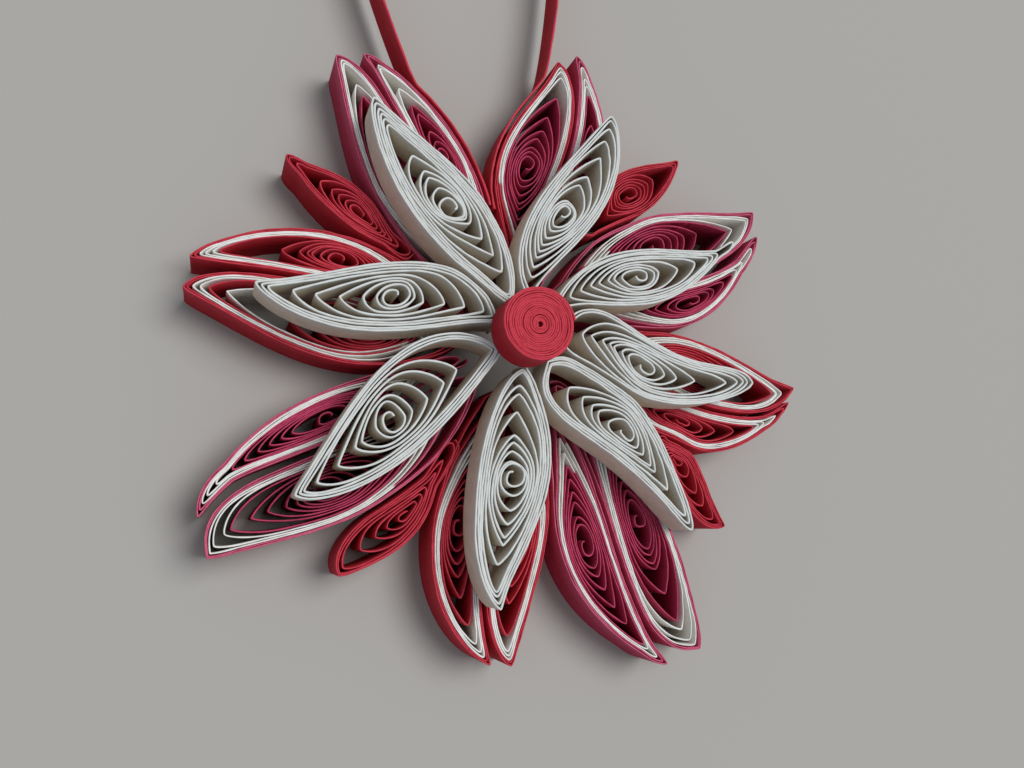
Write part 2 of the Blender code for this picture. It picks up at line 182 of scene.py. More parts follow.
def clearance(points, ring):
    """How far each point lies outside a closed ring of points, and minus how far it lies inside.

    The distance is the least length of offset - share * edge, where offset goes from an edge's start to the
    point and share is how far along the edge that reaches, from 0 to 1. A point is inside where the line to
    its right crosses the ring an odd number of times.
    """
    start, end = ring, np.roll(ring, -1, axis=0)
    edge = end - start
    offset = points[:, None] - start[None]
    share = np.clip((offset * edge).sum(2) / (edge * edge).sum(1), 0.0, 1.0)
    distance = np.linalg.norm(offset - share[..., None] * edge, axis=2).min(1)
    spans = (start[None, :, 1] > points[:, None, 1]) != (end[None, :, 1] > points[:, None, 1])
    rise = np.where(edge[:, 1] == 0.0, 1.0, edge[:, 1])
    crossing = start[:, 0] + (points[:, None, 1] - start[:, 1]) * edge[:, 0] / rise
    inside = (spans & (points[:, None, 0] < crossing)).sum(1) % 2 == 1
    return np.where(inside, -distance, distance)


def press_together(outlines, gap_of):
    """Soft petals flatten where they meet: a side becomes side - (gap - clearance) / 2 if that is less.

    So each of two neighbours gives way by half, pass after pass. The paper is stiff enough to pass a dent
    on to the places beside it, as the weighted mean of five places.
    """
    middles = [outline.ring().mean(0) for outline in outlines]
    pairs = [
        (i, j)
        for i in range(len(outlines))
        for j in range(len(outlines))
        if i != j and np.linalg.norm(middles[i] - middles[j]) < NEIGHBOUR_REACH
    ]
    for _ in range(PRESSING_PASSES):
        rings = [outline.ring() for outline in outlines]
        for i, j in pairs:
            outline = outlines[i]
            some = outline.stations[::RING_STEP]
            left = outline.points(some, outline.left[::RING_STEP])
            right = outline.points(some, -outline.right[::RING_STEP])
            give_left = np.clip(gap_of(i, j) - clearance(left, rings[j]), 0.0, None) / 2
            give_right = np.clip(gap_of(i, j) - clearance(right, rings[j]), 0.0, None) / 2
            give_left = np.convolve(give_left, GIVING_WAY, "same")
            give_right = np.convolve(give_right, GIVING_WAY, "same")
            outline.left = outline.left - np.interp(outline.stations, some, give_left)
            outline.right = outline.right - np.interp(outline.stations, some, give_right)


def round_ends(outline, root_rounding, tip_rounding):
    """Paper can't be folded to a knife edge: each end is at least as wide as half an ellipse is there.

    half-width * sqrt(1 - (1 - way)^2), where the way from the end is in parts of its length and 1 at the
    most.
    """
    middle, room = (outline.left - outline.right) / 2, (outline.left + outline.right) / 2
    for from_end, rounding in ((outline.stations, root_rounding), (1.0 - outline.stations, tip_rounding)):
        half_width, length = rounding
        way = np.clip(from_end * outline.length / length, 0.0, 1.0)
        room = np.maximum(room, half_width * np.sqrt(1.0 - (1.0 - way) ** 2))
    outline.left, outline.right = room + middle, room - middle


def base_gap(i, j):
    """The loop's two legs stand between the first and the last petal, with three films of glue."""
    if {i, j} == {0, len(BASE_PETALS) - 1}:
        return 3 * GLUE_GAP + 2 * LOOP_THICKNESS
    return GLUE_GAP


base_radii = [BASE_ROOT_RADIUS] * len(BASE_PETALS) + list(LEAF_ROOT_RADII)
base_outlines = [Outline(petal, radius) for petal, radius in zip(BASE_PETALS + LEAVES, base_radii)]
press_together(base_outlines, base_gap)
for outline in base_outlines:
    round_ends(outline, ROOT_ROUNDING, BASE_TIP_ROUNDING)

# The base petals. Each is one strip of paper 7 mm wide, of two or three colours joined end to end, rolled
# tightly at its outer turns and let loose inside, so that the inner turns lie as nested lenses round a
# hollow eye. Its edges were torn along a rule rather than cut, which leaves them slightly uneven.
BASE_STRIP_WIDTH = 7.0

# A strip's line is worked out at this many points a turn. The points that are kept lie this far apart in
# mm, or nearer in a bend, where they are turned by this many radians.
STEPS_PER_TURN = 96
STRIP_STEP = 0.34
BEND_STEP = 0.35

# Half the room in mm that stays open where a turn bends, and the share of the petal's widest half-width
# that all its turns may take up on a side.
TIP_ROOM = 0.25
DEEPEST = 0.70

# The first root bends of a petal that lists none.
PLAIN_ROOTS = ((0.0, 0.0), (0.02, 0.0))

# The eye: how far in mm its bends lie from its middle, how soon the bends that aren't listed close up on
# it, and over how many turns the strip's inner end hooks inwards, by which share of its size.
EYE_LENGTH = 1.4
CLOSING = 0.7
HOOK_TURNS = 0.7
HOOK_TIGHTNESS = 0.6

# A bend that has slipped this far, in mm, from where the outline would let it be has lost the outline's
# form. Its turn is then more pointed than an ellipse by this much.
SLIP_LENGTH = 4.0
POINTEDNESS = 0.34

# How a layer's strip is rolled: the paper's thickness and the most that one turn lies from the next, in mm,
# among the tight outer turns and among the loose ones inside; how many are tight; how square a turn is
# where it follows the outline and where it has slipped from it; how much of its room the innermost takes
# up; and how unevenly the turns lie, as the mean of what is added to a distance, in parts of it, and the
# spread in mm of the bends.
Roll = namedtuple("Roll", "thickness pitch loose_pitch tight_turns outer_squareness inner_squareness "
                  "inner_fill spacing bend_spread")
BASE_ROLL = Roll(0.20, 0.215, 0.34, 5, 50.0, 2.6, 0.90, 0.05, 0.12)

# The torn edge: its waves' lengths in mm, and how far each moves the edge up or down and swells it, in mm.
# The edge also leans to and fro, as the strip is not quite upright.
TORN_EDGE = ((2.4, 0.08, 0.01), (0.9, 0.07, 0.03))
LEAN_LENGTH = 4.0
LEAN_ASIDE = 0.06

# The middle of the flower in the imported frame: the disc's middle less its own shift from the flower's.
DISC_SHIFT = (-0.5, 0.2)
disc_low, disc_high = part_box("centre_disc")
FLOWER_MIDDLE = np.array([
    (disc_low[0] + disc_high[0]) / 2 / MM - DISC_SHIFT[0],
    (disc_low[1] + disc_high[1]) / 2 / MM - DISC_SHIFT[1],
    0.0,
])


def turn_depths(turn, turns, roll, deepest, rng):
    """How deep in mm the strip lies in its outline: half its thickness and the distances between turns.

    They are the roll's, or less where together they would come to more than the deepest. Each is then made
    1 + x times as wide, where x is a random number with the roll's mean, and all are narrowed alike if that
    is too much.
    """
    tight_pitch = min(roll.pitch, deepest / turns)
    loose_room = deepest - tight_pitch * roll.tight_turns
    spacings = np.full(turns, min(roll.loose_pitch, loose_room / (turns - roll.tight_turns)))
    spacings[:roll.tight_turns] = tight_pitch
    spacings *= 1.0 + rng.exponential(roll.spacing, turns)
    spacings *= min(1.0, deepest / spacings.sum())
    inwards = np.concatenate([[0.0], np.cumsum(spacings)])
    return roll.thickness / 2 + np.interp(turn, np.arange(turns + 1), inwards)


def bends(outline, roll, given, last, count, rng):
    """The bends that are given, then others to the last one, count in all, as rows of (station, lean).

    The others close up on the eye: given + (last - given) * share^CLOSING, where the share of their number
    goes to 1. All but the first are then moved along by a random distance of the roll's spread.
    """
    given = np.array(given, float)
    share = np.linspace(0.0, 1.0, count - len(given) + 1)[1:, None]
    rows = np.concatenate([given, given[-1] + (np.array(last) - given[-1]) * share ** CLOSING])
    rows[1:, 0] += rng.normal(0.0, roll.bend_spread, len(rows) - 1) / outline.length
    return rows


def coil(outline, petal, roll, rng):
    """The line of a rolled strip, in mm, and the number of the turn at each of its points.

    At turn t the strip goes to and fro between its root bend a and its tip bend b: it is at the station s =
    (a+b)/2 - (b-a)/2 cos(2 pi t). No bend lies where the outline, moved in by the strip's depth, leaves
    less than the room it needs. Within that moved outline, half is the half-width at s. The strip takes
    half * fill * (1 - |2u-1|^m)^p of it, where u goes from 0 at a to 1 at b, and leans aside by the lean of
    its bends times what is left. While a bend is as far out as it can be, m is high and p is 1/2, so that
    the turn follows the outline. As it slips inwards m falls, as outer * (inner/outer)^sqrt(slipped), and p
    rises by POINTEDNESS * slipped * (1 - looseness^3), which makes a pointed lens, rounder at the eye. Fill
    falls from 1 to the roll's own as looseness^2. Looseness goes from 0 at the strip's outer end to 1 at its
    inner one. In the hook the bends and the width shrink on the eye.
    """
    turn = np.arange(petal.turns * STEPS_PER_TURN + 1) / STEPS_PER_TURN
    looseness = turn / petal.turns
    stations = outline.stations
    steep_left, steep_right = outline.steepness(outline.left), outline.steepness(outline.right)
    room = (outline.left + outline.right) / 2
    reach = (room - TIP_ROOM) / ((steep_left + steep_right) / 2)
    belly = int(np.argmax(reach))
    depth = turn_depths(turn, petal.turns, roll, DEEPEST * room[belly], rng)
    tip_limit = np.interp(depth, np.maximum.accumulate(reach[belly:][::-1]), stations[belly:][::-1])
    root_limit = np.interp(depth, np.maximum.accumulate(reach[:belly + 1]), stations[:belly + 1])

    # The strip starts at its root, so its tip bends come half a turn after its root bends.
    eye, eye_lean = petal.eye
    eye_size = EYE_LENGTH / outline.length
    tips = bends(outline, roll, petal.tips, (eye + eye_size, eye_lean), petal.turns, rng)
    root_bends = petal.roots or PLAIN_ROOTS
    roots = bends(outline, roll, root_bends, (eye - eye_size, eye_lean), petal.turns + 1, rng)
    at_tips, at_roots = np.arange(len(tips)) + 0.5, np.arange(len(roots))
    b = np.maximum(np.minimum(np.interp(turn, at_tips, tips[:, 0]), tip_limit), eye + eye_size / 2)
    a = np.minimum(np.maximum(np.interp(turn, at_roots, roots[:, 0]), root_limit), eye - eye_size / 2)
    hook = 1.0 - HOOK_TIGHTNESS * np.clip((turn - petal.turns + HOOK_TURNS) / HOOK_TURNS, 0.0, 1.0)
    b = eye + (b - eye) * hook
    a = eye + (a - eye) * hook

    s = (a + b) / 2 - (b - a) / 2 * np.cos(2.0 * math.pi * turn)
    u = (s - a) / (b - a)
    left = np.interp(s, stations, outline.left) - depth * np.interp(s, stations, steep_left)
    right = np.interp(s, stations, outline.right) - depth * np.interp(s, stations, steep_right)
    half = np.maximum((left + right) / 2, 0.0)
    middle = (left - right) / 2
    slipped = np.where(u < 0.5, a - root_limit, tip_limit - b) * outline.length / SLIP_LENGTH
    slipped = np.clip(slipped, 0.0, 1.0)
    m = roll.outer_squareness * (roll.inner_squareness / roll.outer_squareness) ** np.sqrt(slipped)
    p = 0.5 + POINTEDNESS * slipped * (1.0 - looseness ** 3)
    envelope = np.clip(1.0 - np.abs(2.0 * u - 1.0) ** m, 0.0, 1.0) ** p
    fill = 1.0 - (1.0 - roll.inner_fill) * looseness ** 2
    taken = half * fill * envelope * hook
    lean = np.interp(turn, at_tips, tips[:, 1]) * u + np.interp(turn, at_roots, roots[:, 1]) * (1.0 - u)
    offset = middle + np.sign(np.sin(2.0 * math.pi * turn)) * taken + lean * (half - taken)
    return outline.points(s, offset), turn


def walked(line, turn, step):
    """The same line with its points a step apart, and closer where it bends.

    They lie at even steps of the sum of length / step + angle / BEND_STEP along it.
    """
    edge = np.diff(line, axis=0)
    heading = np.unwrap(np.arctan2(edge[:, 1], edge[:, 0]))
    pace = np.hypot(edge[:, 0], edge[:, 1]) / step + np.abs(np.gradient(heading)) / BEND_STEP
    walk = np.concatenate([[0.0], np.cumsum(pace)])
    even = np.linspace(0.0, walk[-1], int(walk[-1]) + 1)
    x, y, turn = (np.interp(even, walk, values) for values in (line[:, 0], line[:, 1], turn))
    return np.stack([x, y], axis=1), turn


def waves(way, wave_length, rng):
    """Values from -1 to 1 that change smoothly along the way: random ones a wave length apart, joined up."""
    knots = np.arange(0.0, way[-1] + 2 * wave_length, wave_length)
    return np.interp(way, knots, rng.uniform(-1.0, 1.0, len(knots)))


# The section of a strip, from its lower right corner up, over the top and down: (across, up), where across
# goes from -1 to 1 and up from 0 to 1, and how far each corner is part of the torn edge, which also sets how
# much of the painted highlight of the lit top it takes. The top is flat over this part of the thickness and
# rounded down to the shoulder. A bend sharper than this angle, in degrees, is a crease.
FLAT_PART = 0.45
SHOULDER = 0.988
SECTION_ACROSS = np.array([1.0, 1.0, 1.0, FLAT_PART, -FLAT_PART, -1.0, -1.0, -1.0])
SECTION_UP = np.array([0.0, 0.5, SHOULDER, 1.0, 1.0, SHOULDER, 0.5, 0.0])
SECTION_EDGE = np.array([0.0, 0.0, 0.6, 1.0, 1.0, 0.6, 0.0, 0.0])
CREASE_ANGLE = 35.0


def strip_grid(line, bottom, width, thickness, rng):
    """The places in mm of a strip on edge, on a grid of (point of the line, corner of the section).

    place = line + right * (thickness / 2 * across + lean * up), height = bottom + width * up, with the
    waves of the torn edge added to both.
    """
    forward = np.gradient(line, axis=0)
    forward /= np.linalg.norm(forward, axis=1)[:, None]
    right = np.stack([forward[:, 1], -forward[:, 0]], axis=1)
    way = np.concatenate([[0.0], np.cumsum(np.linalg.norm(np.diff(line, axis=0), axis=1))])
    rise = sum(size * waves(way, length, rng) for length, size, _ in TORN_EDGE)
    swell = sum(size * waves(way, length, rng) for length, _, size in TORN_EDGE)
    lean = LEAN_ASIDE * waves(way, LEAN_LENGTH, rng)
    across = SECTION_ACROSS * thickness / 2 + np.outer(swell, SECTION_ACROSS * SECTION_EDGE)
    across = across + np.outer(lean, SECTION_UP)
    plane = line[:, None] + right[:, None] * across[:, :, None]
    height = bottom + width * SECTION_UP + np.outer(rise, SECTION_EDGE > 0.0)
    return np.concatenate([plane, height[:, :, None]], axis=2)


def strip_mesh(name, grid):
    """A strip as one closed surface: a quad for each cell of its grid, and a cap of all corners at each end.

    The last cap goes round the other way, so that both face outwards.
    """
    count, corners = grid.shape[:2]
    i, j = np.meshgrid(np.arange(count - 1), np.arange(corners), indexing="ij")
    here, above = i * corners + j, i * corners + (j + 1) % corners
    quads = np.stack([here, here + corners, above + corners, above], axis=2).reshape(-1, 4)
    caps = np.stack([np.arange(corners), (count * corners - 1) - np.arange(corners)])
    mesh = bpy.data.meshes.new(name)
    mesh.vertices.add(count * corners)
    mesh.vertices.foreach_set("co", ((grid + FLOWER_MIDDLE) * MM).ravel())
    mesh.loops.add(quads.size + caps.size)
    mesh.loops.foreach_set("vertex_index", np.concatenate([quads.ravel(), caps.ravel()]))
    mesh.polygons.add(len(quads) + len(caps))
    starts = np.concatenate([np.arange(len(quads)) * 4, quads.size + np.arange(len(caps)) * corners])
    mesh.polygons.foreach_set("loop_start", starts)
    mesh.update(calc_edges=True)
    mesh.shade_smooth()
    mesh.set_sharp_from_angle(angle=math.radians(CREASE_ANGLE))
    # Each point's share of the torn edge, which is also its share of the painted highlight on the strip's
    # top.
    edge = mesh.attributes.new("torn_edge_and_highlight", "FLOAT", "POINT")
    edge.data.foreach_set("value", np.tile(SECTION_EDGE, count))
    return mesh


def add_paper_numbers(mesh, numbers):
    """Says at each point of the line which of the joined papers the strip is of: 0 is the outermost."""
    paper = mesh.attributes.new("paper", "FLOAT", "POINT")
    paper.data.foreach_set("value", np.repeat(numbers, len(SECTION_EDGE)))


def show(name, mesh, material, node):
    """Puts the mesh into the scene in place of its CAD node."""
    mesh.materials.append(material)
    piece = bpy.data.objects.new(name, mesh)
    bpy.context.scene.collection.objects.link(piece)
    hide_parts(node)
    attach(piece, "root")


def linear(hex_colour):
    """An sRGB hex colour made linear: c/12.92 below 0.04045, else ((c + 0.055)/1.055) to the power 2.4."""
    channels = [int(hex_colour[i:i + 2], 16) / 255 for i in (1, 3, 5)]
    return [c / 12.92 if c < 0.04045 else ((c + 0.055) / 1.055) ** 2.4 for c in channels] + [1.0]


def add_node(tree, kind, inputs=(), **settings):
    """Adds a node with its settings. Each input is linked where a socket is given, and set otherwise."""
    new = tree.nodes.new(kind)
    for name, value in settings.items():
        setattr(new, name, value)
    for key, value in dict(inputs).items():
        if isinstance(value, bpy.types.NodeSocket):
            tree.links.new(value, new.inputs[key])
        else:
            new.inputs[key].default_value = value
    return new


# A Mix node of colours has its factor, its two colours and its result at these sockets.
MIX_FACTOR, MIX_FIRST, MIX_SECOND, MIX_RESULT = 0, 6, 7, 2


def joined(tree, number, colours):
    """The colour of the paper that has this number, where the strip is of several papers joined end to end.

    Starting with the first, the colour is mixed with the next one by number - (the number before), from 0
    to 1.
    """
    colour = linear(colours[0])
    for before, following in enumerate(colours[1:]):
        past = add_node(tree, "ShaderNodeMath", {0: number, 1: float(before)},
                        operation="SUBTRACT", use_clamp=True)
        mixed = add_node(
            tree, "ShaderNodeMix",
            {MIX_FACTOR: past.outputs[0], MIX_FIRST: colour, MIX_SECOND: linear(following)},
            data_type="RGBA",
        )
        colour = mixed.outputs[MIX_RESULT]
    return colour


# A paper has the dye's colour on its face and a paler one along the edge where it is torn. Part of that
# difference is painted light: the face colour is darkened as painted shade of the strips' walls, and the edge
# colour lightened as a painted highlight where the light falls on the strips' tops.
Paper = namedtuple("Paper", "face edge")
RED = Paper("#A81A28", "#CB4050")
PINK = Paper("#A62C48", "#CE6280")
CRIMSON = Paper("#8E1834", "#C24668")
WHITE = Paper("#D9D2C6", "#ECECEA")

# The patterns of the paper, as the size in mm of what shows and how many finer levels it has: the clouds of
# its pulp, the tufts of fibre that stand open along a torn edge, and the fibres.
PULP_CLOUDS = (1.6, 3.0)
TUFTS = (0.45, 4.0)
FIBRES = (0.16, 2.0)

# What their values are turned to: how dark or light the clouds make the face, how much of the edge colour,
# partly torn-edge paleness and partly painted highlight, shows between the tufts and on them, and how rough
# the paper is between its fibres and on them.
CLOUD_SHADES = {"From Min": 0.3, "From Max": 0.7, "To Min": 0.90, "To Max": 1.06}
TUFT_PALENESS = {"From Min": 0.35, "From Max": 0.60, "To Min": 0.72, "To Max": 1.0}
FIBRE_ROUGHNESS = {"To Min": 0.75, "To Max": 0.95}

# How high the fibres and the tufts stand, and how little the uncoated paper shines.
FIBRE_RELIEF = {"Strength": 0.5, "Distance": 0.04 * MM}
TUFT_RELIEF = {"Strength": 0.6, "Distance": 0.07 * MM}
PAPER_SHINE = 0.25


def quilling_paper(name, papers):
    """Quilling paper: dyed uncoated paper, calendered only lightly, torn or cut into narrow strips.

    It is matt, slightly cloudy where the pulp lies thicker, and fibrous. Along the torn edge the fibres
    stand open and scatter more light, so the edge shows paler than the wall; that paleness is also a painted
    highlight of the lit top, and the wall's darker face colour is painted shade. The fibres are drawn 0.16 mm
    wide, some five times coarser than real ones, which would be too fine to show.
    """
    material = bpy.data.materials.new(name)
    material.use_nodes = True
    tree = material.node_tree
    position = add_node(tree, "ShaderNodeTexCoord").outputs["Object"]
    number = add_node(tree, "ShaderNodeAttribute", attribute_name="paper").outputs["Fac"]
    edge = add_node(tree, "ShaderNodeAttribute", attribute_name="torn_edge_and_highlight").outputs["Fac"]
    clouds, tufts, fibres = [
        add_node(
            tree, "ShaderNodeTexNoise", {"Vector": position, "Scale": 1 / (size * MM), "Detail": detail},
        ).outputs["Fac"]
        for size, detail in (PULP_CLOUDS, TUFTS, FIBRES)
    ]
    shade = add_node(tree, "ShaderNodeMapRange", {"Value": clouds, **CLOUD_SHADES}).outputs["Result"]
    face = add_node(
        tree, "ShaderNodeMix",
        {MIX_FACTOR: 1.0, MIX_FIRST: joined(tree, number, [paper.face for paper in papers]),
         MIX_SECOND: shade},
        data_type="RGBA", blend_type="MULTIPLY",
    ).outputs[MIX_RESULT]
    paleness = add_node(tree, "ShaderNodeMapRange", {"Value": tufts, **TUFT_PALENESS}).outputs["Result"]
    # Where the colour turns to the edge colour: the torn edge's paleness and the painted highlight of the lit
    # top.
    torn = add_node(tree, "ShaderNodeMath", {0: edge, 1: paleness}, operation="MULTIPLY").outputs[0]
    colour = add_node(
        tree, "ShaderNodeMix",
        {MIX_FACTOR: torn, MIX_FIRST: face,
         MIX_SECOND: joined(tree, number, [paper.edge for paper in papers])},
        data_type="RGBA",
    ).outputs[MIX_RESULT]
    roughness = add_node(tree, "ShaderNodeMapRange", {"Value": fibres, **FIBRE_ROUGHNESS}).outputs["Result"]
    grain = add_node(tree, "ShaderNodeBump", {"Height": fibres, **FIBRE_RELIEF}).outputs["Normal"]
    torn_relief = {"Height": tufts, "Normal": grain, **TUFT_RELIEF}
    relief = add_node(tree, "ShaderNodeBump", torn_relief).outputs["Normal"]
    shader = tree.nodes["Principled BSDF"]
    tree.links.new(colour, shader.inputs["Base Color"])
    tree.links.new(roughness, shader.inputs["Roughness"])
    tree.links.new(relief, shader.inputs["Normal"])
    shader.inputs["Specular IOR Level"].default_value = PAPER_SHINE
    return material


red_white_red = quilling_paper("quilling_paper_red_white_red", (RED, WHITE, RED))
red_white_twice = quilling_paper("quilling_paper_red_white_twice", (RED, WHITE, RED, WHITE, RED))
red_white_crimson = quilling_paper("quilling_paper_red_white_crimson", (RED, WHITE, CRIMSON))
pink_white_crimson = quilling_paper("quilling_paper_pink_white_crimson", (PINK, WHITE, CRIMSON))

# Which papers each petal is rolled of, and at which turns one of them ends and the next begins.
BASE_PAPERS = (
    (red_white_crimson, (2.2, 5.0)), (pink_white_crimson, (2.2, 5.0)), (pink_white_crimson, (2.1, 5.1)),
    (pink_white_crimson, (2.2, 5.0)), (red_white_red, (2.1, 5.0)), (red_white_red, (2.2, 5.1)),
    (pink_white_crimson, (2.2, 5.0)), (pink_white_crimson, (2.1, 4.1)), (red_white_red, (2.2, 5.0)),
    (red_white_red, (2.1, 5.0)), (pink_white_crimson, (2.2, 5.0)), (pink_white_crimson, (2.1, 5.0)),
    (red_white_twice, (2.1, 4.1, 5.05, 6.0)), (red_white_red, (2.2, 5.0)), (pink_white_crimson, (2.1, 5.0)),
    (pink_white_crimson, (2.2, 5.0)),
)

for number, (petal, outline, papers) in enumerate(zip(BASE_PETALS, base_outlines, BASE_PAPERS), start=1):
    rng = np.random.default_rng(number)
    line, turn = walked(*coil(outline, petal, BASE_ROLL, rng), STRIP_STEP)
    node = f"base_petal_{number:02d}"
    mesh = strip_mesh(f"{node}_roll", strip_grid(line, 0.0, BASE_STRIP_WIDTH, BASE_ROLL.thickness, rng))
    material, joints = papers
    add_paper_numbers(mesh, np.searchsorted(joints, turn).astype(float))
    show(f"{node}_roll", mesh, material, node)

# The leaves: four small rolls of plain red strip, as wide as the base petals' and rolled in the same way,
# with fewer turns. They are glued in the gaps between the pairs. Their random draws start after this seed.
LEAF_SEED = 100
LEAF_ROLL = Roll(0.20, 0.23, 0.32, 2, 40.0, 2.6, 0.90, 0.05, 0.10)
red_paper = quilling_paper("quilling_paper_red", (RED,))

for number, (petal, outline) in enumerate(zip(LEAVES, base_outlines[len(BASE_PETALS):]), start=1):
    rng = np.random.default_rng(LEAF_SEED + number)
    line, _ = walked(*coil(outline, petal, LEAF_ROLL, rng), STRIP_STEP)
    node = f"leaf_{number}"
    mesh = strip_mesh(f"{node}_roll", strip_grid(line, 0.0, BASE_STRIP_WIDTH, LEAF_ROLL.thickness, rng))
    show(f"{node}_roll", mesh, red_paper, node)

# The upper layer: eight cream rolls of 5 mm strip, glued on the base over the gaps of its pairs. Their
# turns lie close together along both sides and stand apart at the tips, round a wide hollow eye. The values
# are like the base petals' own.
TOP_SEED = 200
TOP_ROOT_RADIUS = 4.0
TOP_TIP_ROUNDING = (0.7, 2.0)
TOP_STRIP_WIDTH = 5.0
TOP_STRIP_STEP = 0.30
TOP_BOTTOM = BASE_STRIP_WIDTH + GLUE_GAP
TOP_ROLL = Roll(0.25, 0.275, 0.36, 4, 50.0, 2.6, 0.88, 0.15, 0.15)
# The cream's beige face is painted shade of its walls, and its paler edge a painted highlight of the lit
# tops.
CREAM = Paper("#D2C7B4", "#D4D9D9")

TOP_PETALS = (
    Petal(22, (33.5, 30.2), (4.9, 4.4, 2.3), (1.5, 3.9, 4.2), (0.44, 0.3),
          ((1.0, 0), (0.985, 0), (0.92, 0.1), (0.849, 0.2), (0.767, 0), (0.643, 0.15), (0.582, 0.3),
           (0.503, 0.35)), (), 10),
    Petal(67, (34.2, 72.2), (4.6, 4.0, 1.1), (1.4, 3.8, 3.2), (0.46, 0.3),
          ((1.0, 0), (0.985, 0), (0.93, 0.2), (0.859, 0.35), (0.737, 0.2), (0.649, 0.05),
           (0.549, 0.15)), (), 9),
    Petal(112, (32.8, 107.4), (5.1, 2.5, 1.5), (4.0, 5.2, 4.2), (0.424, 0.1),
          ((1.0, 0), (0.96, 0), (0.935, 0.1), (0.91, 0), (0.856, 0), (0.677, 0.1), (0.589, 0.05)), (), 9),
    Petal(150, (33.3, 147.0), (5.5, 5.5, 3.6), (3.8, 1.9, 0.8), (0.46, -0.4),
          ((1.0, 0), (0.969, 0), (0.915, 0.1), (0.775, -0.35), (0.679, -0.35),
           (0.636, -0.4), (0.582, -0.35)),
          ((0.0, 0), (0.01, 0), (0.02, 0), (0.03, 0), (0.14, 0), (0.227, 0.1), (0.274, 0.05), (0.32, 0)), 9),
    Petal(198, (34.2, 194.3), (3.8, 4.2, 1.8), (4.3, 5.2, 4.7), (0.46, -0.1),
          ((1.0, 0), (0.982, 0), (0.932, 0), (0.915, 0), (0.802, 0), (0.723, 0.2), (0.702, 0.2),
           (0.633, 0.2), (0.592, 0.15), (0.54, 0.1)),
          ((0.0, 0), (0.01, 0), (0.02, 0), (0.084, 0), (0.124, 0), (0.211, -0.1), (0.297, -0.15),
           (0.324, -0.2), (0.357, -0.25), (0.399, -0.25)), 11),
    Petal(247, (34.6, 243.6), (2.5, 4.0, 3.9), (6.7, 6.3, 3.5), (0.54, 0.1),
          ((1.0, 0), (0.985, 0), (0.952, -0.15), (0.892, -0.25), (0.784, -0.15), (0.712, -0.25),
           (0.67, -0.25), (0.60, -0.2)),
          ((0.0, 0), (0.01, 0), (0.02, 0), (0.03, 0), (0.209, 0.35), (0.289, 0.45), (0.374, 0.5),
           (0.447, 0.5), (0.486, 0.45)), 9),
    Petal(292, (33.7, 286.4), (1.7, 3.6, 3.6), (6.3, 5.2, 2.4), (0.45, -0.1),
          ((1.0, 0), (0.975, -0.2), (0.935, -0.5), (0.829, -0.4), (0.743, -0.15),
           (0.659, -0.1), (0.561, -0.1)),
          ((0.0, 0), (0.01, 0), (0.02, 0), (0.077, 0.45), (0.162, 0.5), (0.247, 0.5), (0.321, 0.45)), 9),
    Petal(337, (35.1, 334.6), (3.0, 4.4, 3.8), (4.4, 4.5, 2.4), (0.465, -0.35),
          ((1.0, 0), (0.99, 0), (0.94, -0.1), (0.917, -0.2), (0.893, -0.25), (0.861, -0.3), (0.712, -0.35),
           (0.639, -0.25), (0.597, -0.2), (0.544, -0.35)),
          ((0.0, 0), (0.01, 0), (0.02, 0), (0.03, -0.2), (0.131, -0.35), (0.219, -0.4), (0.301, -0.35),
           (0.373, -0.3)), 11),
)
cream_paper = quilling_paper("quilling_paper_cream", (CREAM,))
top_outlines = [Outline(petal, TOP_ROOT_RADIUS) for petal in TOP_PETALS]
press_together(top_outlines, lambda i, j: GLUE_GAP)
for outline in top_outlines:
    round_ends(outline, ROOT_ROUNDING, TOP_TIP_ROUNDING)

for number, (petal, outline) in enumerate(zip(TOP_PETALS, top_outlines), start=1):
    rng = np.random.default_rng(TOP_SEED + number)
    line, _ = walked(*coil(outline, petal, TOP_ROLL, rng), TOP_STRIP_STEP)
    node = f"top_petal_{number}"
    mesh = strip_mesh(f"{node}_roll", strip_grid(line, TOP_BOTTOM, TOP_STRIP_WIDTH, TOP_ROLL.thickness, rng))
    show(f"{node}_roll", mesh, cream_paper, node)

# The disc: one red strip rolled tight and glued, so that its top is a fine spiral of paper edges. It is
# glued on the cream petals' roots and hides them. Radii, pitch and paper are in mm.
DISC_SEED = 300
DISC_RADIUS = 4.65
DISC_PITCH = 0.27
DISC_PAPER = 0.26
DISC_CORE_RADIUS = 0.3
DISC_BOTTOM = TOP_BOTTOM + TOP_STRIP_WIDTH + GLUE_GAP

disc_turns = (DISC_RADIUS - DISC_PAPER / 2 - DISC_CORE_RADIUS) / DISC_PITCH
turn = np.linspace(0.0, disc_turns, int(disc_turns * STEPS_PER_TURN))
radius = DISC_RADIUS - DISC_PAPER / 2 - DISC_PITCH * turn
spiral = np.stack([
    DISC_SHIFT[0] + radius * np.cos(2.0 * math.pi * turn),
    DISC_SHIFT[1] + radius * np.sin(2.0 * math.pi * turn),
], axis=1)
rng = np.random.default_rng(DISC_SEED)
line, _ = walked(spiral, turn, STRIP_STEP)
mesh = strip_mesh("centre_disc_roll", strip_grid(line, DISC_BOTTOM, TOP_STRIP_WIDTH, DISC_PAPER, rng))
show("centre_disc_roll", mesh, red_paper, "centre_disc")

# The hanging loop: one red strip 5 mm wide, its two legs glued between the first and the last petal, level
# with their tops. Its crown is half an ellipse, and a smooth bend of these pulls joins it to each leg, all
# in mm.
LOOP_SEED = 301
LOOP_STRIP_WIDTH = 5.0
LOOP_BOTTOM = BASE_STRIP_WIDTH - LOOP_STRIP_WIDTH
LOOP_TOP = 86.0
LOOP_CROWN_HEIGHT = 20.0
LOOP_CROWN_WIDTH = 31.0
LOOP_CROWN_SHIFT = 2.5
LOOP_LEG_BEND = 2.0
LOOP_CROWN_BEND = 8.0

